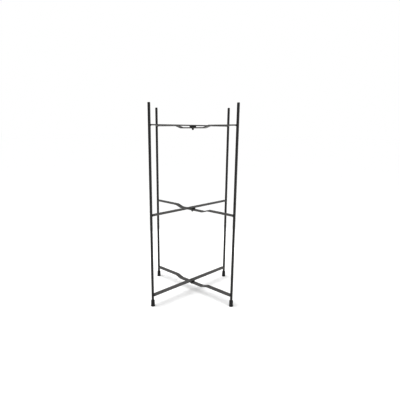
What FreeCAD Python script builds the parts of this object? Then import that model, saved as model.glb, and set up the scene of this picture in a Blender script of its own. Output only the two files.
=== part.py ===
# A folding display stand: two upright ladder frames that cross at a right angle and pivot about one
# vertical axis.  The straight frame carries the pivot screws, and the joggled frame turns about them,
# because its three crossbars dip under the other frame's in the middle.
# Millimetres, +Z up, origin on the floor under the pivot axis, the front of the stand facing -Y.
import FreeCAD, Part
import math
import os

from FreeCAD import Vector

# Overall sizes
stand_height = 900.0
leg_spacing = 362.0          # between neighbouring legs, axis to axis, when open at a right angle

# Legs: round steel tube
tube_d = 11.0
tube_wall = 1.0

# Plastic plugs in the tops of the legs
plug_head_t = 2.0
plug_edge_r = 1.5
plug_shank_l = 12.0
plug_gap = 0.1
plug_wall = 1.2
plug_chamfer = 0.5

# Rubber feet
foot_h = 29.0
foot_sole_t = 6.0
foot_wall = 2.8
foot_flare = 0.75            # how much wider the sole is than the neck, each side
foot_flare_h = 12.0
foot_flare_r = 20.0
foot_shoulder_r = 2.0
foot_sole_r = 1.6
foot_bore_gap = 0.05
foot_lip = 0.4
foot_rim = 0.2               # the narrowest flat left at the mouth, beside the shoulder

# Crossbars: flat steel bar, wide face up
bar_w = 22.0
bar_t = 5.0
bar_edge_r = 0.7
low_bar_height = 53.0        # from the floor to the middle of the bar's thickness
middle_bar_height = 430.0
post_above_bar = 88.0        # from the middle of the top bar up to the end of the leg
notch_depth = 1.6            # how far each end is notched around its leg
joggle_inner = 72.0          # half length of the lowered middle
joggle_outer = 106.0         # half length to the start of the ramps
joggle_bend_r = 14.0         # to the middle of the bar's thickness

# Weld beads under and beside the ends of the crossbars
bead_leg = 2.4
bead_half_angle = 70.0
bead_bulge = 0.6

# Pivot hardware
screw_d = 5.0
screw_head_d = 10.0
screw_head_rim = 0.4
screw_tip_l = 1.8
screw_tip_chamfer = 0.5
socket_af = 3.0
socket_depth = 1.6
hole_gap = 0.06              # radial, where the joggled bar turns about the screw
plain_gap = 0.15             # radial, in the spacer and the washer
spacer_l = 5.2
spacer_corner_r = 1.0
washer_d = 11.0
washer_t = 1.0
washer_edge = 0.2
nut_af = 8.0
nut_hex_h = 3.6
nut_collar_h = 1.4
nut_collar_d = 7.0
nut_chamfer = 0.4
slip = 0.1                   # end play above and below the joggled bar

# Worked out from the sizes above
tube_r = tube_d / 2
half_diagonal = leg_spacing / math.sqrt(2)
joggle_drop = bar_t + spacer_l + slip
leg_bottom = foot_sole_t
leg_top = stand_height - plug_head_t
bar_levels = {
    "bottom": low_bar_height,
    "middle": middle_bar_height,
    "top": stand_height - post_above_bar,
}
frame_turn = {"straight": 45.0, "joggled": -45.0}
leg_places = {
    "front_left": ("straight", -half_diagonal),
    "back_right": ("straight", half_diagonal),
    "front_right": ("joggled", half_diagonal),
    "back_left": ("joggled", -half_diagonal),
}

X = Vector(1, 0, 0)
Y = Vector(0, 1, 0)
Z = Vector(0, 0, 1)
same_place = 1.0e-6          # two points nearer than this are one


def export(name, solids, turn=0.0):
    """Turn a group of solids about the pivot axis and write it as one sub-part."""
    shape = solids[0] if len(solids) == 1 else Part.makeCompound(solids)
    shape.rotate(Vector(), Z, turn)
    shape.exportStep(f"parts/{name}.step")
    volume = sum(solid.Volume for solid in shape.Solids)
    print(f"{name}: {len(shape.Solids)} solid(s), valid {shape.isValid()}, {volume:.1f} mm3")


def cylinder(radius, length, base):
    return Part.makeCylinder(radius, length, base, Z)


def rounded_path(points, radii):
    """Edges through the points, straight between them, with a tangent arc at each inner point."""
    edges = []
    start = points[0]
    for before, corner, after, radius in zip(points, points[1:], points[2:], radii):
        into = (before - corner).normalize()
        out = (after - corner).normalize()
        half_turn = into.getAngle(out) / 2
        reach = radius / math.tan(half_turn)
        first = corner + into * reach
        last = corner + out * reach
        inward = (into + out).normalize()
        middle = corner + inward * (radius / math.sin(half_turn) - radius)
        edges.append(Part.LineSegment(start, first).toShape())
        edges.append(Part.Arc(first, middle, last).toShape())
        start = last
    edges.append(Part.LineSegment(start, points[-1]).toShape())
    return edges


def revolved(edges):
    """A full turn about Z of a closed outline that lies in the XZ plane."""
    return Part.Face(Part.Wire(edges)).revolve(Vector(), Z, 360)


def line(*points):
    return [Part.LineSegment(a, b).toShape() for a, b in zip(points, points[1:])]


def leg():
    """One leg tube along Z."""
    length = leg_top - leg_bottom
    base = Z * leg_bottom
    return cylinder(tube_r, length, base).cut(cylinder(tube_r - tube_wall, length, base))


def end_plug():
    """A plug with a rounded head as wide as the tube and a hollow shank inside it."""
    shank_r = tube_r - tube_wall - plug_gap
    shank_bottom = leg_top - plug_shank_l
    corners = [
        Vector(0, 0, stand_height),
        Vector(tube_r, 0, stand_height),
        Vector(tube_r, 0, leg_top),
    ]
    outline = rounded_path(corners, [plug_edge_r])
    outline += line(
        corners[-1],
        Vector(shank_r, 0, leg_top),
        Vector(shank_r, 0, shank_bottom + plug_chamfer),
        Vector(shank_r - plug_chamfer, 0, shank_bottom),
        Vector(shank_r - plug_wall, 0, shank_bottom),
        Vector(shank_r - plug_wall, 0, leg_top),
        Vector(0, 0, leg_top),
        corners[0],
    )
    return revolved(outline)


def foot():
    """A rubber foot, a little wider at its sole, with a blind bore for the leg."""
    bore_r = tube_r + foot_bore_gap
    neck_r = bore_r + foot_wall
    sole_r = neck_r + foot_flare
    outer = [
        Vector(0, 0, 0),
        Vector(sole_r, 0, 0),
        Vector(sole_r, 0, foot_sole_t),
        Vector(neck_r, 0, foot_sole_t + foot_flare_h),
        Vector(neck_r, 0, foot_h),
        Vector(bore_r + foot_lip, 0, foot_h),
    ]
    shoulder_r = min(foot_shoulder_r, foot_wall - foot_lip - foot_rim)
    radii = [foot_sole_r, foot_flare_r, foot_flare_r, shoulder_r]
    outline = rounded_path(outer, radii)
    outline += line(
        outer[-1],
        Vector(bore_r, 0, foot_h - foot_lip),
        Vector(bore_r, 0, foot_sole_t),
        Vector(0, 0, foot_sole_t),
        outer[0],
    )
    return revolved(outline)


def offset_path(points, distance):
    """The points of a path parallel to this one, moved to its left seen from -Y, with mitred corners."""
    directions = [(b - a).normalize() for a, b in zip(points, points[1:])]
    normals = [Vector(-d.z, 0, d.x) for d in directions]
    moved = [points[0] + normals[0] * distance]
    for point, one, two in zip(points[1:], normals, normals[1:]):
        mitre = (one + two).normalize()
        moved.append(point + mitre * (distance / mitre.dot(one)))
    moved.append(points[-1] + normals[-1] * distance)
    return moved


def bar_from(points, turns):
    """A flat bar whose middle line runs through the points.  A left turn is +1, a right turn -1."""
    half_t = bar_t / 2
    over = offset_path(points, half_t)
    under = offset_path(points, -half_t)
    over_edges = rounded_path(over, [joggle_bend_r - turn * half_t for turn in turns])
    under_edges = rounded_path(under, [joggle_bend_r + turn * half_t for turn in turns])
    outline = over_edges + line(over[-1], under[-1]) + under_edges + line(under[0], over[0])
    side = Part.Face(Part.Wire(Part.__sortEdges__(outline)))
    bar = side.extrude(Y * bar_w)
    bar.translate(Y * (-bar_w / 2))
    return bar


def round_long_edges(bar):
    """Soften the rolled edges that run along the bar, on both sides of both faces."""
    rims = []
    for edge in bar.Edges:
        ends = [vertex.Point for vertex in edge.Vertexes]
        if abs(ends[0].x - ends[1].x) > same_place:
            rims.append(edge)
    return bar.makeFillet(bar_edge_r, rims)


def fit_ends(bar, level):
    """Notch both ends around the legs."""
    for place in (-half_diagonal, half_diagonal):
        bar = bar.cut(cylinder(tube_r, 2 * bar_w, Vector(place, 0, level - bar_w)))
    return bar


def bar_reach():
    """Half the length of a crossbar: it stops inside its notches."""
    return half_diagonal - tube_r + notch_depth


def straight_bar(level):
    """A straight crossbar with a countersunk hole in the middle."""
    reach = bar_reach()
    bar = bar_from([Vector(-reach, 0, level), Vector(reach, 0, level)], [])
    bar = round_long_edges(bar)
    bar = bar.cut(cylinder(screw_d / 2, bar_t, Vector(0, 0, level - bar_t / 2)))
    bar = bar.cut(screw_head(level + bar_t / 2))
    return fit_ends(bar, level)


def joggled_bar(level):
    """A crossbar that dips in the middle, with a plain hole that turns about the screw."""
    reach = bar_reach()
    dip = level - joggle_drop
    points = [
        Vector(-reach, 0, level),
        Vector(-joggle_outer, 0, level),
        Vector(-joggle_inner, 0, dip),
        Vector(joggle_inner, 0, dip),
        Vector(joggle_outer, 0, level),
        Vector(reach, 0, level),
    ]
    bar = round_long_edges(bar_from(points, [-1, 1, 1, -1]))
    bar = bar.cut(cylinder(screw_d / 2 + hole_gap, bar_t, Vector(0, 0, dip - bar_t / 2)))
    return fit_ends(bar, level)


def screw_head(top):
    """The solid of the countersunk head, with a thin straight rim, as high as the bar's upper face."""
    cone_h = (screw_head_d - screw_d) / 2
    rim = cylinder(screw_head_d / 2, screw_head_rim, Z * (top - screw_head_rim))
    cone_base = top - screw_head_rim - cone_h
    cone = Part.makeCone(screw_d / 2, screw_head_d / 2, cone_h, Z * cone_base, Z)
    return rim.fuse(cone)


def hexagon(across_flats, height, base):
    """A hexagonal prism about the pivot axis."""
    corner_r = across_flats / math.sqrt(3)
    corners = [
        Vector(corner_r * math.cos(math.radians(60 * i)), corner_r * math.sin(math.radians(60 * i)), base)
        for i in range(7)
    ]
    return Part.Face(Part.makePolygon(corners)).extrude(Z * height)


def stack_heights(level):
    """The heights of the faces in one pivot, from the bar's upper face down to the screw's tip."""
    heights = {"top": level + bar_t / 2}
    heights["spacer_top"] = level - bar_t / 2
    heights["spacer_bottom"] = heights["spacer_top"] - spacer_l
    heights["washer_top"] = level - joggle_drop - bar_t / 2 - slip
    heights["nut_top"] = heights["washer_top"] - washer_t
    heights["nut_bottom"] = heights["nut_top"] - nut_hex_h - nut_collar_h
    heights["tip"] = heights["nut_bottom"] - screw_tip_l
    return heights


def pivot_screw(level):
    """A countersunk socket screw that points down."""
    at = stack_heights(level)
    shank = cylinder(screw_d / 2, at["top"] - at["tip"], Z * at["tip"])
    shank = shank.makeChamfer(screw_tip_chamfer, [shank.Edges[edge_at(shank, at["tip"])]])
    screw = shank.fuse(screw_head(at["top"])).removeSplitter()
    return screw.cut(hexagon(socket_af, socket_depth, at["top"] - socket_depth))


def edge_at(shape, height):
    """The index of the round edge that lies at this height."""
    for index, edge in enumerate(shape.Edges):
        box = edge.BoundBox
        if abs(box.ZMin - height) < same_place and abs(box.ZMax - height) < same_place:
            return index
    raise ValueError(f"no edge at {height}")


def ring(outer_d, inner_r, top, bottom, edge):
    """A flat ring about the pivot axis with broken outer edges."""
    height = top - bottom
    solid = cylinder(outer_d / 2, height, Z * bottom)
    rims = [solid.Edges[edge_at(solid, top)], solid.Edges[edge_at(solid, bottom)]]
    solid = solid.makeChamfer(edge, rims)
    return solid.cut(cylinder(inner_r, height, Z * bottom))


def lock_nut(level):
    """A hexagonal nut with a round locking collar below it."""
    at = stack_heights(level)
    hex_bottom = at["nut_top"] - nut_hex_h
    body = hexagon(nut_af, nut_hex_h, hex_bottom)
    corner_r = nut_af / math.sqrt(3)
    blank = cylinder(corner_r, nut_hex_h, Z * hex_bottom)
    rims = [blank.Edges[edge_at(blank, at["nut_top"])], blank.Edges[edge_at(blank, hex_bottom)]]
    body = body.common(blank.makeChamfer(nut_chamfer, rims))
    collar = cylinder(nut_collar_d / 2, nut_collar_h, Z * at["nut_bottom"])
    collar = collar.makeFillet(nut_chamfer, [collar.Edges[edge_at(collar, at["nut_bottom"])]])
    nut = body.fuse(collar).removeSplitter()
    length = nut_hex_h + nut_collar_h
    return nut.cut(cylinder(screw_d / 2, length, Z * at["nut_bottom"]))


def weld_bead(place, level):
    """A bead on the side of one leg that faces the pivot, below and beside the end of a crossbar."""
    top = level + bar_t / 2
    bottom = level - bar_t / 2 - bead_leg
    outer_r = tube_r + bead_leg
    toe = Vector(tube_r, 0, bottom)
    crown = Vector(outer_r + bead_bulge, 0, bottom + bead_leg)
    edges = [
        Part.Arc(toe, Vector(outer_r, 0, bottom + bead_leg / 3), crown).toShape(),
    ]
    edges += line(crown, Vector(outer_r, 0, top), Vector(tube_r, 0, top), toe)
    section = Part.Face(Part.Wire(edges))
    section.rotate(Vector(), Z, -bead_half_angle)
    bead = section.revolve(Vector(), Z, 2 * bead_half_angle)
    facing = 180 if place > 0 else 0
    bead.rotate(Vector(), Z, facing)
    bead.translate(X * place)
    return bead


def frame_beads(bars):
    """The beads at both ends of a frame's crossbars, clear of the bars."""
    beads = []
    for name, level in bar_levels.items():
        for place in (-half_diagonal, half_diagonal):
            left_over = weld_bead(place, level).cut(bars[name])
            beads += left_over.Solids
    return beads


def spacer(top, bottom):
    """A square block, as wide as the crossbars, with a hole for the screw."""
    length = top - bottom
    block = Part.makeBox(bar_w, bar_w, length, Vector(-bar_w / 2, -bar_w / 2, bottom))
    upright = [edge for edge in block.Edges if abs(edge.tangentAt(edge.FirstParameter).z) > same_place]
    block = block.makeFillet(spacer_corner_r, upright)
    return block.cut(cylinder(screw_d / 2 + plain_gap, length, Vector(0, 0, bottom)))


os.makedirs("parts", exist_ok=True)

for where, (frame, place) in leg_places.items():
    for kind, make in (("leg", leg), ("end_plug", end_plug), ("foot", foot)):
        piece = make()
        piece.translate(X * place)
        export(f"{kind}_{where}", [piece], frame_turn[frame])

straight_bars = {name: straight_bar(level) for name, level in bar_levels.items()}
joggled_bars = {name: joggled_bar(level) for name, level in bar_levels.items()}
straight_beads = frame_beads(straight_bars)
joggled_beads = frame_beads(joggled_bars)

for name, level in bar_levels.items():
    at = stack_heights(level)
    export(f"straight_bar_{name}", [straight_bars[name]], frame_turn["straight"])
    export(f"joggled_bar_{name}", [joggled_bars[name]], frame_turn["joggled"])
    export(f"pivot_screw_{name}", [pivot_screw(level)])
    block = spacer(at["spacer_top"], at["spacer_bottom"])
    export(f"pivot_spacer_{name}", [block], frame_turn["straight"])
    washer = ring(washer_d, screw_d / 2 + plain_gap, at["washer_top"], at["nut_top"], washer_edge)
    export(f"pivot_washer_{name}", [washer])
    export(f"lock_nut_{name}", [lock_nut(level)])

export("straight_frame_weld_beads", straight_beads, frame_turn["straight"])
export("joggled_frame_weld_beads", joggled_beads, frame_turn["joggled"])
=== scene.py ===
import math

import bmesh
import bpy
from mathutils import Matrix, Vector


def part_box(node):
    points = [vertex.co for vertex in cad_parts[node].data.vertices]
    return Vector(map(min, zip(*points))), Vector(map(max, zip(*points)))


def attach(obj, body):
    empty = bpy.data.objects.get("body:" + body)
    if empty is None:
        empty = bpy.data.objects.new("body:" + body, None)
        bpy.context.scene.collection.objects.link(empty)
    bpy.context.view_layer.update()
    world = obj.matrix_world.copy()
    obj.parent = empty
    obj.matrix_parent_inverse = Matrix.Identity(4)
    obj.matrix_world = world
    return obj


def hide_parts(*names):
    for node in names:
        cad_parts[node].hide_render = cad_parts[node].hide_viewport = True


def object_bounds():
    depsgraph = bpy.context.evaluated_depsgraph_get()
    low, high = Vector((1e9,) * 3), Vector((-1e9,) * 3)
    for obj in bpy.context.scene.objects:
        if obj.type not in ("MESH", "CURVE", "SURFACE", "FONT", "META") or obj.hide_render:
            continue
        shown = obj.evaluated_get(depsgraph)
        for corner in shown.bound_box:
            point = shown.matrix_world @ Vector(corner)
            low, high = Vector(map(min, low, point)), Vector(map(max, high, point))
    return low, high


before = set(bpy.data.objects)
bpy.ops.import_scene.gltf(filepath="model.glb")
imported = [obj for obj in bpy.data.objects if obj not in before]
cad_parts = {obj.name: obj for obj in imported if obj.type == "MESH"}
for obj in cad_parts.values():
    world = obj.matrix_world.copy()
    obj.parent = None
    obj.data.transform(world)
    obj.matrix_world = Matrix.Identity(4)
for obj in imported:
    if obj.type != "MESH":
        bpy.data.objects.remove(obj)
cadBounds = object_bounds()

mm = 0.001
samePlace = 0.001 * mm         # points nearer than this are joined
scene = bpy.context.scene

# where things are, read from the frame
legNames = ("front_left", "back_right", "front_right", "back_left")
levelNames = ("bottom", "middle", "top")
bodyOfLeg = {
    "front_left": "straight_frame",
    "back_right": "straight_frame",
    "front_right": "joggled_frame",
    "back_left": "joggled_frame",
}


def middleOf(node):
    low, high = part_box(node)
    return (low + high) / 2


def sizeOf(node):
    low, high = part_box(node)
    return high - low


legPlaces = {name: middleOf("leg_" + name) for name in legNames}
barHeights = {name: middleOf("straight_bar_" + name).z for name in levelNames}
tubeRadius = sizeOf("leg_front_left").x / 2
barThick = sizeOf("straight_bar_top").z
standHeight = cadBounds[1][2]


# shader helper: sockets that can be added, subtracted and multiplied in plain Python
class Wire:
    def __init__(self, shader, socket):
        self.shader = shader
        self.socket = socket

    def combine(self, operation, first, second):
        return self.shader.add("ShaderNodeMath", {"operation": operation}, {0: first, 1: second})

    def __add__(self, other):
        return self.combine("ADD", self, other)

    def __radd__(self, other):
        return self.combine("ADD", other, self)

    def __sub__(self, other):
        return self.combine("SUBTRACT", self, other)

    def __rsub__(self, other):
        return self.combine("SUBTRACT", other, self)

    def __mul__(self, other):
        return self.combine("MULTIPLY", self, other)


class Shader:
    def __init__(self, name):
        self.material = bpy.data.materials.new(name)
        self.material.use_nodes = True
        self.tree = self.material.node_tree
        self.tree.nodes.clear()
        self.end = self.tree.nodes.new("ShaderNodeOutputMaterial")

    # one node: its type, its settings first, then the values or links of its sockets
    def add(self, kind, settings=None, sockets=None, output=0):
        node = self.tree.nodes.new(kind)
        for key, value in (settings or {}).items():
            setattr(node, key, value)
        for key, value in (sockets or {}).items():
            if isinstance(value, Wire):
                self.tree.links.new(value.socket, node.inputs[key])
            else:
                node.inputs[key].default_value = value
        return Wire(self, node.outputs[output])

    def place(self, stretch=(1, 1, 1)):
        coords = self.add("ShaderNodeTexCoord", output="Object")
        return self.add("ShaderNodeMapping", None, {"Vector": coords, "Scale": stretch})

    def noise(self, size, detail=3.0, rough=0.5, stretch=(1, 1, 1)):
        where = self.place(stretch)
        return self.add("ShaderNodeTexNoise", {"noise_dimensions": "3D"},
                        {"Vector": where, "Scale": 1 / size, "Detail": detail, "Roughness": rough})

    def between(self, value, low, high):            # 0 below low, 1 above high, smooth between
        return self.add("ShaderNodeMapRange", {"interpolation_type": "SMOOTHSTEP"},
                        {"Value": value, "From Min": low, "From Max": high, "To Min": 0.0, "To Max": 1.0})

    def blend(self, share, first, second):          # two colours
        return self.add("ShaderNodeMix", {"data_type": "RGBA", "blend_type": "MIX"},
                        {"Factor": share, 6: first, 7: second}, output=2)

    def edges(self, radius):                        # 0 on flats, towards 1 on sharp edges
        soft = self.add("ShaderNodeBevel", {"samples": 8}, {"Radius": radius})
        true = self.add("ShaderNodeNewGeometry", output="Normal")
        product = {"operation": "DOT_PRODUCT"}
        same = self.add("ShaderNodeVectorMath", product, {0: soft, 1: true}, output="Value")
        return 1 - same

    def height(self):                               # metres above the floor
        coords = self.add("ShaderNodeTexCoord", output="Object")
        return self.add("ShaderNodeSeparateXYZ", None, {"Vector": coords}, output="Z")

    def bumps(self, height, depth, strength=1.0, under=None):
        sockets = {"Height": height, "Distance": depth, "Strength": strength}
        if under is not None:
            sockets["Normal"] = under
        return self.add("ShaderNodeBump", None, sockets)

    def finish(self, sockets):
        surface = self.add("ShaderNodeBsdfPrincipled", None, sockets)
        self.tree.links.new(surface.socket, self.end.inputs["Surface"])
        return self.material


def grey(value, warmth=0.0):
    return (value * (1 + warmth), value, value * (1 - warmth), 1)


def shaded(colour, shade):
    return tuple(channel * shade for channel in colour[:3]) + (1,)


# finishes: a range gives the noise values at which a change of colour starts and ends
powder = {
    "dark": grey(0.015, 0.02),
    "light": grey(0.021, 0.03),
    "worn": grey(0.110, 0.02),
    "cloudSize": 35 * mm,      # slow change of shade along a part
    "cloudShare": 0.65,        # the rest of the shade comes from the flecks
    "fleckSize": 0.5 * mm,
    "toneRange": (0.30, 0.72),
    "peelSize": 1.6 * mm,      # orange peel of the sprayed powder
    "peelDepth": 0.025 * mm,
    "grainDepth": 0.005 * mm,
    "edgeRadius": 0.8 * mm,
    "edgeRange": (0.05, 0.40),
    "rubbedRange": (0.42, 0.62),
    "scratchSize": 3.0 * mm,
    "scratchStretch": (1, 1, 0.12),
    "scratchRange": (0.66, 0.74),
    "scratchShow": 0.12,
    "roughness": 0.40,
    "peelRoughness": 0.10,     # how far each of these moves the roughness
    "cloudRoughness": 0.08,
    "rubbedPolish": 0.08,
    "specular": 0.42,
}


def powderCoat(name, peel=1.0, wear=0.5, shade=1.0):
    shader = Shader(name)
    cloud = shader.noise(powder["cloudSize"], 3.0, 0.55)
    fleck = shader.noise(powder["fleckSize"], 2.0, 0.6)
    peelNoise = shader.noise(powder["peelSize"], 2.0, 0.4)
    mixed = cloud * powder["cloudShare"] + fleck * (1 - powder["cloudShare"])
    tone = shader.between(mixed, *powder["toneRange"])
    # shade scales the coat's colours; the crossbars' large value paints light into the coat
    colour = shader.blend(tone, shaded(powder["dark"], shade), shaded(powder["light"], shade))
    edge = shader.between(shader.edges(powder["edgeRadius"]), *powder["edgeRange"])
    rubbed = edge * shader.between(cloud, *powder["rubbedRange"]) * wear
    colour = shader.blend(rubbed, colour, powder["worn"])
    streak = shader.noise(powder["scratchSize"], 4.0, 0.7, powder["scratchStretch"])
    scratch = shader.between(streak, *powder["scratchRange"])
    colour = shader.blend(scratch * powder["scratchShow"], colour, powder["worn"])
    roughness = powder["roughness"] + (peelNoise - 0.5) * powder["peelRoughness"]
    roughness = roughness + (cloud - 0.5) * powder["cloudRoughness"] - rubbed * powder["rubbedPolish"]
    normal = shader.bumps(peelNoise, powder["peelDepth"] * peel)
    normal = shader.bumps(fleck, powder["grainDepth"], 1.0, normal)
    return shader.finish({
        "Base Color": colour, "Roughness": roughness, "Normal": normal,
        "Specular IOR Level": powder["specular"], "IOR": 1.5,
    })


rubber = {
    "dark": grey(0.012),
    "light": grey(0.024, 0.02),
    "dust": grey(0.11, 0.06),
    "cloudSize": 9 * mm,
    "cloudShare": 0.6,         # the rest of the shade comes from the grain
    "grainSize": 0.7 * mm,
    "grainDepth": 0.06 * mm,
    "toneRange": (0.35, 0.65),
    "dustHeight": 7 * mm,      # floor dust fades out this far up
    "dustRange": (0.42, 0.72),
    "dustShow": 0.5,
    "edgeRadius": 0.5 * mm,
    "edgeRange": (0.08, 0.5),
    "edgeShow": 0.25,
    "roughness": 0.62,
    "grainRoughness": 0.25,
    "dustRoughness": 0.3,
    "specular": 0.4,
}


def mouldedRubber(name):
    shader = Shader(name)
    grain = shader.noise(rubber["grainSize"], 3.0, 0.6)
    cloud = shader.noise(rubber["cloudSize"], 2.0, 0.5)
    mixed = cloud * rubber["cloudShare"] + grain * (1 - rubber["cloudShare"])
    colour = shader.blend(shader.between(mixed, *rubber["toneRange"]), rubber["dark"], rubber["light"])
    low = 1 - shader.between(shader.height(), 0.0, rubber["dustHeight"])
    dust = low * shader.between(grain, *rubber["dustRange"]) * rubber["dustShow"]
    edge = shader.between(shader.edges(rubber["edgeRadius"]), *rubber["edgeRange"])
    colour = shader.blend(dust, colour, rubber["dust"])
    colour = shader.blend(edge * rubber["edgeShow"], colour, rubber["dust"])
    roughness = rubber["roughness"] + (grain - 0.5) * rubber["grainRoughness"]
    return shader.finish({
        "Base Color": colour, "Roughness": roughness + dust * rubber["dustRoughness"],
        "Normal": shader.bumps(grain, rubber["grainDepth"]), "Specular IOR Level": rubber["specular"],
    })


plastic = {
    "dark": grey(0.010),
    "light": grey(0.022),
    "edgeGrey": 0.07,
    "flowSize": 6 * mm,        # marks left where the plastic flowed along the part
    "flowStretch": (1, 1, 0.4),
    "flowShare": 0.7,          # the rest of the shade comes from the texture
    "textureSize": 0.35 * mm,
    "textureDepth": 0.02 * mm,
    "toneRange": (0.35, 0.68),
    "edgeRadius": 0.4 * mm,
    "edgeRange": (0.1, 0.6),
    "edgeShow": 0.3,
    "roughness": 0.48,
    "textureRoughness": 0.2,
    "edgePolish": 0.1,
    "specular": 0.45,
}


def mouldedPlastic(name, shade=1.0):
    shader = Shader(name)
    texture = shader.noise(plastic["textureSize"], 2.0, 0.5)
    flow = shader.noise(plastic["flowSize"], 2.0, 0.5, plastic["flowStretch"])
    mixed = flow * plastic["flowShare"] + texture * (1 - plastic["flowShare"])
    tone = shader.between(mixed, *plastic["toneRange"])
    colour = shader.blend(tone, shaded(plastic["dark"], shade), shaded(plastic["light"], shade))
    edge = shader.between(shader.edges(plastic["edgeRadius"]), *plastic["edgeRange"])
    colour = shader.blend(edge * plastic["edgeShow"], colour, grey(plastic["edgeGrey"] * shade))
    roughness = plastic["roughness"] + (texture - 0.5) * plastic["textureRoughness"]
    return shader.finish({
        "Base Color": colour, "Roughness": roughness - edge * plastic["edgePolish"],
        "Normal": shader.bumps(texture, plastic["textureDepth"]), "Specular IOR Level": plastic["specular"],
    })


oxide = {
    "dark": grey(0.030),
    "light": grey(0.085, 0.03),
    "bright": grey(0.30, 0.02),
    "cloudSize": 2.5 * mm,
    "toneRange": (0.35, 0.66),
    "lineSize": 0.12 * mm,     # turning marks
    "lineStretch": (0.15, 0.15, 1),
    "lineDepth": 0.008 * mm,
    "edgeRadius": 0.3 * mm,
    "edgeRange": (0.12, 0.7),
    "wornRange": (0.35, 0.6),
    "wornShow": 0.7,
    "metallic": 0.85,          # 1 where it is worn to the steel
    "roughness": 0.36,
    "cloudRoughness": 0.3,
    "wornPolish": 0.08,
}


def blackOxide(name):
    shader = Shader(name)
    cloud = shader.noise(oxide["cloudSize"], 4.0, 0.6)
    lines = shader.noise(oxide["lineSize"], 2.0, 0.5, oxide["lineStretch"])
    colour = shader.blend(shader.between(cloud, *oxide["toneRange"]), oxide["dark"], oxide["light"])
    edge = shader.between(shader.edges(oxide["edgeRadius"]), *oxide["edgeRange"])
    worn = edge * shader.between(cloud, *oxide["wornRange"])
    colour = shader.blend(worn * oxide["wornShow"], colour, oxide["bright"])
    roughness = oxide["roughness"] + (cloud - 0.5) * oxide["cloudRoughness"]
    return shader.finish({
        "Base Color": colour, "Metallic": oxide["metallic"] + worn * (1 - oxide["metallic"]),
        "Roughness": roughness - worn * oxide["wornPolish"],
        "Normal": shader.bumps(lines, oxide["lineDepth"]),
    })


paper = {
    "dark": grey(0.93),
    "light": grey(0.95),
    "fibreSize": 12 * mm,
    "fibreDepth": 0.05 * mm,
    "fibreRoughness": 0.1,
    "wideSize": 900 * mm,      # slow change of shade across the floor
    "roughness": 0.85,
}


def palePaper(name):                                # the studio floor
    shader = Shader(name)
    fibre = shader.noise(paper["fibreSize"], 3.0, 0.5)
    wide = shader.noise(paper["wideSize"], 2.0, 0.5)
    colour = shader.blend(wide * 0.5 + fibre * 0.5, paper["dark"], paper["light"])
    return shader.finish({
        "Base Color": colour, "Roughness": paper["roughness"] + (fibre - 0.5) * paper["fibreRoughness"],
        "Normal": shader.bumps(fibre, paper["fibreDepth"]), "Specular IOR Level": 0.0,
    })


legCoat = powderCoat("leg_powder_coat", 1.0, 0.4, 1.4)
# the crossbars take the same charcoal coat made 5.5 times lighter: painted light standing in for the light
# and white reflection their flat faces catch
barCoatPaintedLight = powderCoat("bar_powder_coat_painted_light", 0.8, 0.6, 5.5)
beadCoat = powderCoat("weld_powder_coat", 1.6, 0.3, 1.3)
footRubber = mouldedRubber("foot_rubber")
plugPlastic = mouldedPlastic("plug_plastic")
spacerNylon = mouldedPlastic("spacer_nylon", 0.8)
screwOxide = blackOxide("screw_black_oxide")
print("finishes made:", len(bpy.data.materials))


# mesh helpers
def rotate(bm, angle):
    bmesh.ops.rotate(bm, verts=bm.verts[:], cent=(0, 0, 0), matrix=Matrix.Rotation(angle, 3, "Z"))


def move(bm, offset, verts=None):
    bmesh.ops.translate(bm, verts=verts or bm.verts[:], vec=offset)


# an outline of (radius, height, rounding), closed or from axis to axis, turned about Z
def turned(bm, outline, steps, closed=False):
    verts = [bm.verts.new((radius, 0, height)) for radius, height, rounding in outline]
    pairs = list(zip(verts, verts[1:]))
    if closed:
        pairs.append((verts[-1], verts[0]))
    for pair in pairs:
        bm.edges.new(pair)
    made = set(verts)
    for vert, (radius, height, rounding) in zip(verts, outline):
        if rounding:
            result = bmesh.ops.bevel(
                bm, geom=[vert], offset=rounding, offset_type="OFFSET", affect="VERTICES",
                segments=4, profile=0.5, material=-1,
            )
            made.update(result["verts"])
    made = [vert for vert in made if vert.is_valid]
    edges = {edge for vert in made for edge in vert.link_edges}
    bmesh.ops.spin(
        bm, geom=made + list(edges), cent=(0, 0, 0), axis=(0, 0, 1),
        angle=2 * math.pi, steps=steps, use_merge=True, use_duplicate=False,
    )
    bmesh.ops.remove_doubles(bm, verts=bm.verts[:], dist=samePlace)


def makePiece(name, bm, finishes, body, nodes, smoothAngle=35):
    bmesh.ops.remove_doubles(bm, verts=bm.verts[:], dist=samePlace / 2)
    bmesh.ops.recalc_face_normals(bm, faces=bm.faces[:])
    mesh = bpy.data.meshes.new(name)
    bm.to_mesh(mesh)
    bm.free()
    mesh.shade_smooth()
    mesh.set_sharp_from_angle(angle=math.radians(smoothAngle))
    piece = bpy.data.objects.new(name, mesh)
    scene.collection.objects.link(piece)
    for finish in finishes:
        mesh.materials.append(finish)
    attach(piece, body)
    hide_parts(*nodes)
    return piece


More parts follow.
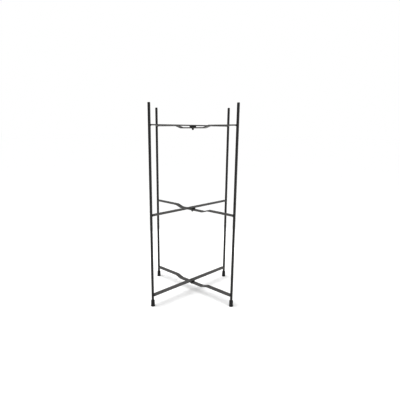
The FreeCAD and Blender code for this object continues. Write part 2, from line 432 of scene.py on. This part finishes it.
# rubber feet
foot = {
    "recess": 0.8 * mm,        # the middle of the sole is hollow, with one tread groove round it
    "recessRadius": 4.4 * mm,
    "recessRound": 0.2 * mm,
    "recessSlope": 0.4 * mm,
    "grooveRadius": 6.4 * mm,
    "grooveWidth": 0.8 * mm,
    "grooveSlope": 0.2 * mm,
    "treadRound": 0.15 * mm,
    "soleRound": 1.1 * mm,
    "bandHeight": 4.6 * mm,    # a band of full width above the sole, then a small step in
    "bandRound": 0.6 * mm,
    "stepIn": 0.5 * mm,
    "stepHeight": 0.9 * mm,
    "stepRound": 0.4 * mm,
    "neckRatio": 0.91,         # of the sole's radius
    "flareTop": 18 * mm,
    "flareRound": 3.0 * mm,
    "ringGap": 4.6 * mm,       # from the mouth down to the groove under the shoulder
    "ringDepth": 0.45 * mm,
    "ringMouth": 1.4 * mm,     # the groove's width outside and inside, and the rounding of each
    "ringFloor": 0.6 * mm,
    "ringMouthRound": 0.2 * mm,
    "ringFloorRound": 0.1 * mm,
    "shoulderRound": 2.0 * mm,
    "lip": 0.3 * mm,
    "lipDepth": 0.4 * mm,
    "lipRound": 0.1 * mm,
    "boreFloor": 6 * mm,
    "gap": 0.05 * mm,
}


def makeFoot(name):
    node = "foot_" + name
    size = sizeOf(node)
    sole = size.x / 2
    top = size.z
    neck = sole * foot["neckRatio"]
    bore = tubeRadius + foot["gap"]
    ring = top - foot["ringGap"]
    ringIn = neck - foot["ringDepth"]
    ringMouth = foot["ringMouth"] / 2
    ringFloor = foot["ringFloor"] / 2
    grooveIn = foot["grooveRadius"]
    grooveOut = grooveIn + foot["grooveWidth"]
    outline = [
        (0, foot["recess"], 0),
        (foot["recessRadius"], foot["recess"], foot["recessRound"]),
        (foot["recessRadius"] + foot["recessSlope"], 0, foot["treadRound"]),
        (grooveIn, 0, foot["treadRound"]),
        (grooveIn + foot["grooveSlope"], foot["recess"], 0),
        (grooveOut - foot["grooveSlope"], foot["recess"], 0),
        (grooveOut, 0, foot["treadRound"]),
        (sole, 0, foot["soleRound"]),
        (sole, foot["bandHeight"], foot["bandRound"]),
        (sole - foot["stepIn"], foot["bandHeight"] + foot["stepHeight"], foot["stepRound"]),
        (neck, foot["flareTop"], foot["flareRound"]),
        (neck, ring - ringMouth, foot["ringMouthRound"]),
        (ringIn, ring - ringFloor, foot["ringFloorRound"]),
        (ringIn, ring + ringFloor, foot["ringFloorRound"]),
        (neck, ring + ringMouth, foot["ringMouthRound"]),
        (neck, top, foot["shoulderRound"]),
        (bore + foot["lip"], top, foot["lipRound"]),
        (bore, top - foot["lipDepth"], 0),
        (bore, foot["boreFloor"], 0),
        (0, foot["boreFloor"], 0),
    ]
    bm = bmesh.new()
    turned(bm, outline, 64)
    place = legPlaces[name]
    move(bm, (place.x, place.y, 0))
    makePiece("rubber_" + node, bm, [footRubber], bodyOfLeg[name], [node])


for name in legNames:
    makeFoot(name)
print("feet made")


# plastic plugs in the tops of the legs
plug = {
    "headHeight": 2 * mm,
    "edgeRound": 1.3 * mm,
    "crown": 0.25 * mm,        # the middle stands this far above the edge's start
    "crownRatio": 0.6,         # the crown's slope changes here, in parts of the radius
    "crownShare": 0.3,         # and has fallen by this part of its height
    "crownRound": 0.5 * mm,
    "gateRadius": 0.7 * mm,    # the moulding gate's dimple
    "gateFloorRatio": 0.7,
    "gateDepth": 0.2 * mm,
    "smallRound": 0.1 * mm,
    "seatLip": 0.05 * mm,
    "shankGap": 1.1 * mm,      # from the tube's outside to the shank
    "shankWall": 1.2 * mm,
    "leadIn": (0.5 * mm, 0.6 * mm),
    "ribs": 4,
    "ribShare": 1 / 8,         # of the way from one rib to the next
    "ribHeight": 0.09 * mm,
    "ribMargin": 0.05 * mm,
}


def makePlug(name):
    node = "end_plug_" + name
    low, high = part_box(node)
    top = high.z
    seat = top - plug["headHeight"]
    edgeTop = top - plug["crown"]
    crownBend = top - plug["crown"] * plug["crownShare"]
    gateFloor = top - plug["gateDepth"]
    shank = tubeRadius - plug["shankGap"]
    shankIn = shank - plug["shankWall"]
    leadWidth, leadHeight = plug["leadIn"]
    small = plug["smallRound"]
    outline = [
        (0, gateFloor, 0),
        (plug["gateRadius"] * plug["gateFloorRatio"], gateFloor, small),
        (plug["gateRadius"], top, small),
        (tubeRadius * plug["crownRatio"], crownBend, plug["crownRound"]),
        (tubeRadius, edgeTop, plug["edgeRound"]),
        (tubeRadius, seat + plug["seatLip"], small),
        (shank, seat, 0),
        (shank, low.z + leadHeight, 0),
        (shank - leadWidth, low.z, small),
        (shankIn, low.z, small),
        (shankIn, seat, 0),
        (0, seat, 0),
    ]
    bm = bmesh.new()
    turned(bm, outline, 48)
    ribSpan = 2 * math.pi / plug["ribs"]
    for vert in bm.verts:                        # the ribs that grip the bore
        radius = math.hypot(vert.co.x, vert.co.y)
        if abs(radius - shank) < plug["ribMargin"] and vert.co.z < seat:
            turn = math.atan2(vert.co.y, vert.co.x) % ribSpan
            if turn < ribSpan * plug["ribShare"]:
                vert.co.xy *= (shank + plug["ribHeight"]) / radius
    place = legPlaces[name]
    move(bm, (place.x, place.y, 0))
    makePiece("cap_" + node, bm, [plugPlastic], bodyOfLeg[name], [node])


for name in legNames:
    makePlug(name)
print("end plugs made")


# weld beads: overlapping round puddles, melted into one skin
bead = {
    "underRadius": 1.75 * mm,
    "underReach": 1.0 * mm,    # from the leg's surface to the puddles' middles
    "underDrop": 0.45 * mm,    # below the bar
    "underFlat": 0.85,
    "underSpan": 57,           # degrees each side of the bar's middle
    "underCount": 11,
    "underUneven": (0.06, 2.4),    # change of size, and how fast it comes and goes
    "sideRadius": 1.35 * mm,
    "sideReach": 0.55 * mm,
    "sideSpan": 50,
    "sideRise": 0.36,          # of the bar's thickness, up and down
    "sideCount": 4,
    "topRadius": 0.95 * mm,
    "topReach": 0.35 * mm,
    "topFlat": 0.8,
    "topSpan": 46,
    "topCount": 10,
    "topUneven": (0.08, 1.9),
    "skin": 0.3 * mm,          # grid of the melted skin
    "softening": 0.5,
}


def puddle(bm, spin, reach, height, radius, flat=1.0):
    made = bmesh.ops.create_icosphere(bm, subdivisions=2, radius=radius)["verts"]
    bmesh.ops.scale(bm, verts=made, vec=(1, 1, flat))
    angle = math.radians(spin)
    move(bm, (reach * math.cos(angle), reach * math.sin(angle), height), made)


def spread(count, span):
    return [-span + 2 * span * i / (count - 1) for i in range(count)]


# a row of puddles across the bar, each a little larger or smaller than the last
def beadRow(joint, part, height):
    change, pace = bead[part + "Uneven"]
    reach = tubeRadius + bead[part + "Reach"]
    for i, spin in enumerate(spread(bead[part + "Count"], bead[part + "Span"])):
        size = bead[part + "Radius"] * (1.0 + change * math.sin(pace * i))
        puddle(joint, spin, reach, height, size, bead[part + "Flat"])


def oneBead(bm, place, barHeight):
    joint = bmesh.new()
    beadRow(joint, "under", -barThick / 2 - bead["underDrop"])
    for side in (-1, 1):
        for height in spread(bead["sideCount"], barThick * bead["sideRise"]):
            spin = side * bead["sideSpan"]
            puddle(joint, spin, tubeRadius + bead["sideReach"], height, bead["sideRadius"])
    beadRow(joint, "top", barThick / 2)
    inward = math.atan2(-place.y, -place.x)      # towards the pivot
    rotate(joint, inward)
    move(joint, (place.x, place.y, barHeight))
    copy = bpy.data.meshes.new("bead")
    joint.to_mesh(copy)
    joint.free()
    bm.from_mesh(copy)
    bpy.data.meshes.remove(copy)


def makeBeads(body):
    bm = bmesh.new()
    for name in legNames:
        if bodyOfLeg[name] == body:
            for level in levelNames:
                oneBead(bm, legPlaces[name], barHeights[level])
    node = body + "_weld_beads"
    piece = makePiece("melted_" + node, bm, [beadCoat], body, [node], 60)
    skin = piece.modifiers.new("skin", "REMESH")
    skin.mode = "VOXEL"
    skin.voxel_size = bead["skin"]
    skin.use_smooth_shade = True
    soften = piece.modifiers.new("soften", "SMOOTH")
    soften.factor = bead["softening"]
    soften.iterations = 2
    applyModifiers(piece)


def applyModifiers(piece):
    shown = piece.evaluated_get(bpy.context.evaluated_depsgraph_get())
    mesh = bpy.data.meshes.new_from_object(shown)
    piece.modifiers.clear()
    old = piece.data
    piece.data = mesh
    bpy.data.meshes.remove(old)
    mesh.name = piece.name


for body in ("straight_frame", "joggled_frame"):
    makeBeads(body)
print("weld beads made")


# pivot screws, spacers, washers and lock nuts
screw = {
    "headRadius": 5 * mm,
    "headRim": 0.4 * mm,
    "edge": 0.1 * mm,
    "shankRadius": 2.5 * mm,
    "rootRadius": 2.12 * mm,   # of the thread
    "rootStep": 0.2 * mm,      # from the plain shank down to the root
    "pitch": 0.8 * mm,
    "threadTurns": 10,
    "threadSteps": 32,         # in each turn
    "toothSink": 0.05 * mm,    # how far each tooth reaches into the root
    "toothHeights": (0.02 * mm, 0.336 * mm, 0.448 * mm, 0.768 * mm),
    "socketFlats": 3 * mm,
    "socketDepth": 1.6 * mm,
    "sideSteps": 8,            # points along each side of the hexagon socket
    "tipChamfer": 0.4 * mm,
    "tipBand": 0.01 * mm,
}


# a round loop pulled out to the flat sides of a hexagon or a square
def flatLoop(bm, flats, height, steps, sides=6, corner=0.0):
    made = ringAt(bm, flats / 2, height, sides * steps)
    each = 2 * math.pi / sides
    for vert in made:
        fromFlat = math.atan2(vert.co.y, vert.co.x) % each - each / 2
        reach = flats / 2 / math.cos(fromFlat)
        furthest = flats / 2 / math.cos(each / 2) - corner
        vert.co.xy *= min(reach, furthest) / (flats / 2)
    return made


def edgesOf(verts):
    inside = set(verts)
    touching = {edge for vert in verts for edge in vert.link_edges}
    return [edge for edge in touching if edge.verts[0] in inside and edge.verts[1] in inside]


def ringAt(bm, radius, height, segments):
    made = bmesh.ops.create_circle(bm, cap_ends=False, segments=segments, radius=radius)["verts"]
    move(bm, (0, 0, height), made)
    return made


def bridge(bm, first, second):
    bmesh.ops.bridge_loops(bm, edges=edgesOf(first) + edgesOf(second))


def makeScrew(level):
    node = "pivot_screw_" + level
    low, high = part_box(node)
    top = high.z
    tip = low.z
    around = 6 * screw["sideSteps"]
    bm = bmesh.new()
    coneHeight = screw["headRadius"] - screw["shankRadius"]
    rim = top - screw["headRim"]
    threadTop = tip + screw["tipChamfer"] + screw["pitch"] * screw["threadTurns"]
    edge = screw["edge"]
    rings = [
        ringAt(bm, screw["headRadius"] - edge, top, around),
        ringAt(bm, screw["headRadius"], top - edge, around),
        ringAt(bm, screw["headRadius"], rim, around),
        ringAt(bm, screw["shankRadius"], rim - coneHeight, around),
        ringAt(bm, screw["shankRadius"], threadTop, around),
        ringAt(bm, screw["rootRadius"], threadTop - screw["rootStep"], around),
    ]
    mouth = flatLoop(bm, screw["socketFlats"] + 2 * edge, top, screw["sideSteps"])
    wall = flatLoop(bm, screw["socketFlats"], top - edge, screw["sideSteps"])
    floor = flatLoop(bm, screw["socketFlats"], top - screw["socketDepth"], screw["sideSteps"])
    bridge(bm, rings[0], mouth)
    bridge(bm, mouth, wall)
    bridge(bm, wall, floor)
    for upper, lower in zip(rings, rings[1:]):
        bridge(bm, upper, lower)
    bmesh.ops.contextual_create(bm, geom=edgesOf(floor))
    core = ringAt(bm, screw["rootRadius"], tip + screw["tipBand"], around)
    bridge(bm, rings[-1], core)
    end = ringAt(bm, screw["rootRadius"] - screw["tipChamfer"], tip, around)
    bridge(bm, core, end)
    bmesh.ops.contextual_create(bm, geom=edgesOf(end))
    thread(bm, tip + screw["tipChamfer"])
    makePiece("steel_" + node, bm, [screwOxide], "straight_frame", [node])


# one tooth of the thread, turned and raised by a pitch each turn
def thread(bm, start):
    root = screw["rootRadius"] - screw["toothSink"]
    crest = screw["shankRadius"]
    tooth = zip((root, crest, crest, root), screw["toothHeights"])
    verts = [bm.verts.new((radius, 0, start + height)) for radius, height in tooth]
    face = bm.faces.new(verts)
    turns = screw["threadTurns"] - 1
    bmesh.ops.spin(
        bm, geom=[face] + face.edges[:] + verts, cent=(0, 0, 0), axis=(0, 0, 1),
        dvec=(0, 0, screw["pitch"] / screw["threadSteps"]), angle=2 * math.pi * turns,
        steps=screw["threadSteps"] * turns, use_merge=False, use_duplicate=False,
    )


spacer = {
    "corner": 0.5 * mm,        # taken off each upright corner
    "roundedOff": 0.83 * mm,   # what rounded corners take off the diagonal of the frame's block
    "edge": 0.4 * mm,
    "bore": 2.65 * mm,
    "sideSteps": 24,
}


# a square block, as wide as the crossbars and parallel to the straight ones
def makeSpacer(level):
    node = "pivot_spacer_" + level
    low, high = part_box(node)
    width = (high.x - low.x + spacer["roundedOff"]) / math.sqrt(2)
    edge = spacer["edge"]
    bm = bmesh.new()
    around = 4 * spacer["sideSteps"]

    def square(shrink, height):
        return flatLoop(bm, width - 2 * shrink, height, spacer["sideSteps"], 4, spacer["corner"])

    chain = [
        ringAt(bm, spacer["bore"], low.z + edge, around),
        ringAt(bm, spacer["bore"] + edge, low.z, around),
        square(edge, low.z),
        square(0, low.z + edge),
        square(0, high.z - edge),
        square(edge, high.z),
        ringAt(bm, spacer["bore"] + edge, high.z, around),
        ringAt(bm, spacer["bore"], high.z - edge, around),
    ]
    for first, second in zip(chain, chain[1:] + chain[:1]):
        bridge(bm, first, second)
    makePiece("nylon_" + node, bm, [spacerNylon], "straight_frame", [node])


washer = {
    "radius": 5.5 * mm,
    "bore": 2.65 * mm,
    "edge": 0.25 * mm,
    "boreEdge": 0.125 * mm,
}


def makeWasher(level):
    node = "pivot_washer_" + level
    low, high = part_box(node)
    outline = [
        (washer["bore"], low.z, washer["boreEdge"]),
        (washer["radius"], low.z, washer["edge"]),
        (washer["radius"], high.z, washer["edge"]),
        (washer["bore"], high.z, washer["boreEdge"]),
    ]
    bm = bmesh.new()
    turned(bm, outline, 64, True)
    makePiece("steel_" + node, bm, [screwOxide], "straight_frame", [node])


nut = {
    "flats": 8 * mm,
    "hexHeight": 3.6 * mm,
    "bore": 2.5 * mm,
    "boreEdge": 0.2 * mm,
    "faceRatio": 0.98,         # radius of the round face, of half the width across flats
    "chamferSlope": 0.55,
    "collarRadius": 3.5 * mm,
    "collarRoot": 0.15 * mm,
    "collarEdge": (0.35 * mm, 0.45 * mm),      # width and height of the rolled rim
    "collarTurn": 0.13 * mm,                   # where the roll is at half a right angle
    "ringRadius": 3.05 * mm,   # the nylon ring inside the collar
    "ringDrop": 0.25 * mm,
    "sideSteps": 8,
}


def makeNut(level):
    node = "lock_nut_" + level
    low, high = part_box(node)
    top = high.z
    hexBottom = top - nut["hexHeight"]
    around = 6 * nut["sideSteps"]
    bm = bmesh.new()
    upper = flatLoop(bm, nut["flats"], top, nut["sideSteps"])
    lower = flatLoop(bm, nut["flats"], hexBottom, nut["sideSteps"])
    faceRadius = nut["flats"] / 2 * nut["faceRatio"]
    for verts, way in ((upper, -1), (lower, 1)):   # the corners fall away along a cone
        for vert in verts:
            outside = math.hypot(vert.co.x, vert.co.y) - faceRadius
            vert.co.z += way * outside * nut["chamferSlope"]
    bridge(bm, upper, lower)
    face = ringAt(bm, faceRadius, top, around)
    bore = ringAt(bm, nut["bore"] + nut["boreEdge"], top, around)
    boreIn = ringAt(bm, nut["bore"], top - nut["boreEdge"], around)
    bridge(bm, upper, face)
    bridge(bm, face, bore)
    bridge(bm, bore, boreIn)
    collar = nut["collarRadius"]
    rimWidth, rimHeight = nut["collarEdge"]
    turn = nut["collarTurn"]
    chain = [
        lower,
        ringAt(bm, faceRadius, hexBottom, around),
        ringAt(bm, collar + nut["collarRoot"], hexBottom, around),
        ringAt(bm, collar, hexBottom - nut["collarRoot"], around),
        ringAt(bm, collar, low.z + rimHeight, around),
        ringAt(bm, collar - turn, low.z + turn, around),
        ringAt(bm, collar - rimWidth, low.z, around),
        ringAt(bm, nut["ringRadius"], low.z + nut["ringDrop"], around),
    ]
    for first, second in zip(chain, chain[1:]):
        bridge(bm, first, second)
    before = set(bm.faces)
    nylon = ringAt(bm, nut["bore"], low.z + nut["ringDrop"], around)
    bridge(bm, chain[-1], nylon)
    for made in set(bm.faces) - before:
        made.material_index = 1
    bridge(bm, nylon, boreIn)
    makePiece("steel_" + node, bm, [screwOxide, spacerNylon], "straight_frame", [node])


for level in levelNames:
    makeScrew(level)
    makeSpacer(level)
    makeWasher(level)
    makeNut(level)
print("pivot hardware made")


# legs and crossbars keep their frame shapes and take a coat of powder; the crossbars' coat is a much
# lighter copy, painted light for the light their faces catch
def coat(node, finish):
    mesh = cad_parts[node].data
    mesh.materials.clear()
    mesh.materials.append(finish)


for name in legNames:
    coat("leg_" + name, legCoat)
for level in levelNames:
    coat("straight_bar_" + level, barCoatPaintedLight)
    coat("joggled_bar_" + level, barCoatPaintedLight)
print("frames coated")


# studio: pale floor, a soft sun-like key from the upper left, a soft box on the right, and a
# lamp behind that makes no highlights
studio = {
    "floorRadius": 45.0,
    "background": 1.0,         # what shows behind the floor
    "ambient": 0.39,
    "keyStrength": 2.38,
    "keyWidth": 60,            # degrees across
    "keyLean": 27,             # degrees to the left of straight down
    "keyFront": 3,             # degrees towards the front
    "fillPlace": (2.1, -1.5, 0.9),
    "fillSize": (1.6, 2.0),
    "fillPower": 26,
    "backPlace": (0.15, 1.9, 1.5),   # lights the floor behind the stand, and fades at its middle
    "backTarget": (0.03, 0.62, 0.0),
    "backPower": 66,
    "backCone": 38,
    "backBlend": 0.35,
    "gamma": 0.78,             # of the view, below 1 so that thin dark lines keep their weight
}


def makeFloor():
    bm = bmesh.new()
    bmesh.ops.create_circle(bm, cap_ends=True, segments=96, radius=studio["floorRadius"])
    mesh = bpy.data.meshes.new("studio_floor")
    bm.to_mesh(mesh)
    bm.free()
    mesh.materials.append(palePaper("floor_paper"))
    floor = bpy.data.objects.new("studio_floor", mesh)
    scene.collection.objects.link(floor)


def makeWorld():
    world = bpy.data.worlds.new("studio")
    world.use_nodes = True
    tree = world.node_tree
    shown = tree.nodes.new("ShaderNodeBackground")
    lit = tree.nodes["Background"]
    for node, strength in ((shown, studio["background"]), (lit, studio["ambient"])):
        node.inputs["Color"].default_value = (1, 1, 1, 1)
        node.inputs["Strength"].default_value = strength
    path = tree.nodes.new("ShaderNodeLightPath")
    mix = tree.nodes.new("ShaderNodeMixShader")
    tree.links.new(path.outputs["Is Camera Ray"], mix.inputs[0])
    tree.links.new(lit.outputs[0], mix.inputs[1])
    tree.links.new(shown.outputs[0], mix.inputs[2])
    tree.links.new(mix.outputs[0], tree.nodes["World Output"].inputs["Surface"])
    scene.world = world


def makeLights():
    key = bpy.data.lights.new("key", "SUN")
    key.energy = studio["keyStrength"]
    key.angle = math.radians(studio["keyWidth"])
    keyLamp = bpy.data.objects.new("key", key)
    keyLamp.rotation_euler = (math.radians(studio["keyFront"]), math.radians(-studio["keyLean"]), 0)
    scene.collection.objects.link(keyLamp)
    fill = bpy.data.lights.new("fill", "AREA")
    fill.shape = "RECTANGLE"
    fill.size, fill.size_y = studio["fillSize"]
    fill.energy = studio["fillPower"]
    fillLamp = bpy.data.objects.new("fill", fill)
    place = Vector(studio["fillPlace"])
    target = Vector((0, 0, standHeight / 2))
    fillLamp.location = place
    fillLamp.rotation_euler = (target - place).to_track_quat("-Z", "Y").to_euler()
    fillLamp.visible_camera = False
    scene.collection.objects.link(fillLamp)
    back = bpy.data.lights.new("back", "SPOT")
    back.energy = studio["backPower"]
    back.spot_size = math.radians(studio["backCone"])
    back.spot_blend = studio["backBlend"]
    back.use_shadow = False
    backLamp = bpy.data.objects.new("back", back)
    place = Vector(studio["backPlace"])
    backLamp.location = place
    backLamp.rotation_euler = (Vector(studio["backTarget"]) - place).to_track_quat("-Z", "Y").to_euler()
    backLamp.visible_glossy = False
    scene.collection.objects.link(backLamp)


# the camera stands in front, at the height of the upper tier, and looks slightly down
view = {
    "place": (-0.02207, -1.71889, 0.78890),
    "turn": 0.056,             # degrees, anticlockwise from straight ahead
    "down": 14.253,
    "roll": 0.249,
    "lens": 32.65,             # millimetres, as is the width of the sensor
    "sensor": 36,
    "side": 0.0318,            # shifts of the lens, as parts of the frame
    "rise": 0.0570,
    "furthest": 200,           # metres, what it can see to
}


def makeCamera():
    data = bpy.data.cameras.new("camera")
    data.sensor_width = view["sensor"]
    data.lens = view["lens"]
    data.shift_x = view["side"]
    data.shift_y = view["rise"]
    data.clip_end = view["furthest"]
    lookout = bpy.data.objects.new("camera", data)
    turn = Matrix.Rotation(math.radians(view["turn"]), 4, "Z")
    tip = Matrix.Rotation(math.radians(90 - view["down"]), 4, "X")
    roll = Matrix.Rotation(math.radians(view["roll"]), 4, "Z")
    lookout.matrix_world = Matrix.Translation(view["place"]) @ turn @ tip @ roll
    scene.collection.objects.link(lookout)
    scene.camera = lookout


makeFloor()
makeWorld()
makeLights()
makeCamera()
scene.view_settings.view_transform = "Standard"
scene.view_settings.look = "None"
scene.view_settings.gamma = studio["gamma"]
print("studio lit")
